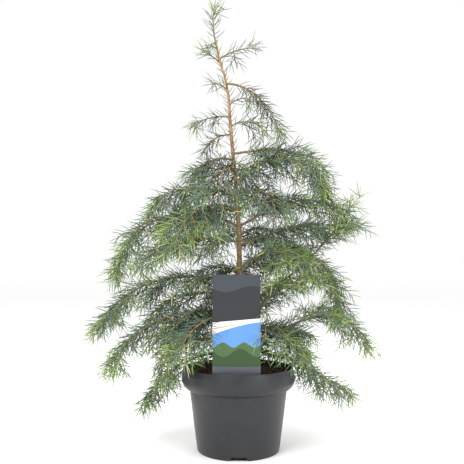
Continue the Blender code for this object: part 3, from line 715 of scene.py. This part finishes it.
cardPrint = {
    "panelFoot": 0.274, "panelTilt": 0.084, "bandFoot": 0.262, "bandTilt": 0.26, "bandBend": -1.6,
    "lineTop": 0.2665, "lineTilt": 0.17, "line": 0.0024, "stripTop": 0.184, "gloss": 0.38,
    # waves in radians a metre, phase, swell and foot
    "ridge": (62.0, 0.0, 0.006, 0.336), "farHills": (150.0, 0.0, 0.005, 0.226),
    "nearHills": (95.0, 1.3, 0.008, 0.211),
}
cardColours = {
    "slate": (0.018, 0.019, 0.023), "slateTop": (0.040, 0.047, 0.060), "white": (0.75, 0.76, 0.76),
    "ochre": (0.62, 0.28, 0.06), "sky": (0.10, 0.27, 0.62), "nearHills": (0.020, 0.060, 0.012),
    "farHills": (0.060, 0.120, 0.035), "strip": (0.075, 0.085, 0.100),
}


def cardMaterial():
    # Bands of plain colour split by lines of height over the width, and two rows of round hills
    material = bpy.data.materials.new("printedCard")
    material.use_nodes = True
    tree = material.node_tree
    link = tree.links.new
    shader = tree.nodes["Principled BSDF"]
    shader.inputs["Roughness"].default_value = cardPrint["gloss"]
    place = tree.nodes.new("ShaderNodeTexCoord")
    split = tree.nodes.new("ShaderNodeSeparateXYZ")
    link(place.outputs["Object"], split.inputs["Vector"])
    across, height = split.outputs["X"], split.outputs["Z"]

    def worked(operation, first, second=0.0):
        # One Math node on two values, each a number or another node's output
        node = tree.nodes.new("ShaderNodeMath")
        node.operation = operation
        for socket, value in zip(node.inputs, (first, second)):
            if isinstance(value, (int, float)):
                socket.default_value = value
            else:
                link(value, socket)
        return node.outputs["Value"]

    middle = worked("ADD", across, -card["x"])

    def slanted(foot, tilt):
        # The foot plus the tilt times the way across from the card's middle
        return worked("ADD", worked("MULTIPLY", middle, tilt), foot)

    def wavy(waves, phase, swell, foot):
        # The foot plus the swell times the sine of the way across
        turn = worked("ADD", worked("MULTIPLY", across, waves), phase)
        return worked("ADD", worked("MULTIPLY", worked("SINE", turn), swell), foot)

    def painted(below, name, edge):
        # The named colour wherever the height is under the edge
        mix = tree.nodes.new("ShaderNodeMix")
        mix.data_type = "RGBA"
        mix.inputs["B"].default_value = (*cardColours[name], 1)
        link(worked("LESS_THAN", height, edge), mix.inputs["Factor"])
        if isinstance(below, tuple):
            mix.inputs["A"].default_value = (*below, 1)
        else:
            link(below, mix.inputs["A"])
        return mix.outputs["Result"]

    values = cardPrint
    bend = worked("MULTIPLY", worked("MULTIPLY", middle, middle), values["bandBend"])
    lineTop = slanted(values["lineTop"], values["lineTilt"])
    lineWidth = slanted(-values["line"] / 2, values["line"] / (2 * card["halfWidth"]))
    colour = cardColours["slateTop"]
    for name, edge in (
            ("slate", wavy(*values["ridge"])),
            ("white", slanted(values["panelFoot"], values["panelTilt"])),
            ("ochre", lineTop),
            ("white", worked("ADD", lineTop, lineWidth)),
            ("sky", worked("ADD", slanted(values["bandFoot"], values["bandTilt"]), bend)),
            ("farHills", wavy(*values["farHills"])),
            ("nearHills", wavy(*values["nearHills"])),
            ("strip", values["stripTop"])):
        colour = painted(colour, name, edge)
    link(colour, shader.inputs["Base Color"])
    return material


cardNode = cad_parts["card"]
cardNode.data.materials.clear()
cardNode.data.materials.append(cardMaterial())
print("card finished")


# Floor, light and camera

studio = {
    "floorHalf": 30, "worldStrength": 1.0, "aim": (0, 0, 0.45),
    "floor": {"dark": (0.975, 0.975, 0.975), "light": (0.985, 0.985, 0.985), "scale": 2,
              "smooth": 0.8, "rough": 0.9},
    # place, size and power
    "lights": {"key": ((-1.3, -1.9, 2.3), 1.4, 58), "fill": ((1.8, -1.5, 1.3), 1.8, 22),
               "back": ((0.6, 1.9, 2.0), 1.6, 26)},
}
half = studio["floorHalf"]
floorMesh = bpy.data.meshes.new("floor")
corners = [(-half, -half, 0), (half, -half, 0), (half, half, 0), (-half, half, 0)]
floorMesh.from_pydata(corners, [], [(0, 1, 2, 3)])
floorMesh.materials.append(mottledMaterial("paleFloor", **studio["floor"]))
floor = bpy.data.objects.new("floor", floorMesh)
bpy.context.scene.collection.objects.link(floor)

for name, (place, size, power) in studio["lights"].items():
    lamp = bpy.data.lights.new(name, "AREA")
    lamp.size, lamp.energy = size, power
    holder = bpy.data.objects.new(name, lamp)
    holder.location = place
    x, y, z = np.subtract(studio["aim"], place)
    holder.rotation_euler = (math.atan2(math.hypot(x, y), -z), 0, math.atan2(y, x) - math.pi / 2)
    bpy.context.scene.collection.objects.link(holder)
world = bpy.data.worlds.new("studio")
bpy.context.scene.world = world
world.use_nodes = True
world.node_tree.nodes["Background"].inputs["Color"].default_value = (1, 1, 1, 1)
world.node_tree.nodes["Background"].inputs["Strength"].default_value = studio["worldStrength"]
bpy.context.scene.view_settings.view_transform = "Standard"

# Solved from the pot's rim, collar and foot; the focal length is in pixels of a frame that many wide
camera = {"place": (-0.0134, -1.207, 0.3524), "pitch": 5.0, "focal": 556.5, "pixels": 464, "sensor": 36.0,
          "clip": (0.01, 40)}
lens = bpy.data.cameras.new("camera")
lens.sensor_width = camera["sensor"]
lens.lens = camera["focal"] / camera["pixels"] * camera["sensor"]
lens.clip_start, lens.clip_end = camera["clip"]
eye = bpy.data.objects.new("camera", lens)
eye.location = camera["place"]
eye.rotation_euler = (math.radians(90 + camera["pitch"]), 0, 0)
bpy.context.scene.collection.objects.link(eye)
bpy.context.scene.camera = eye
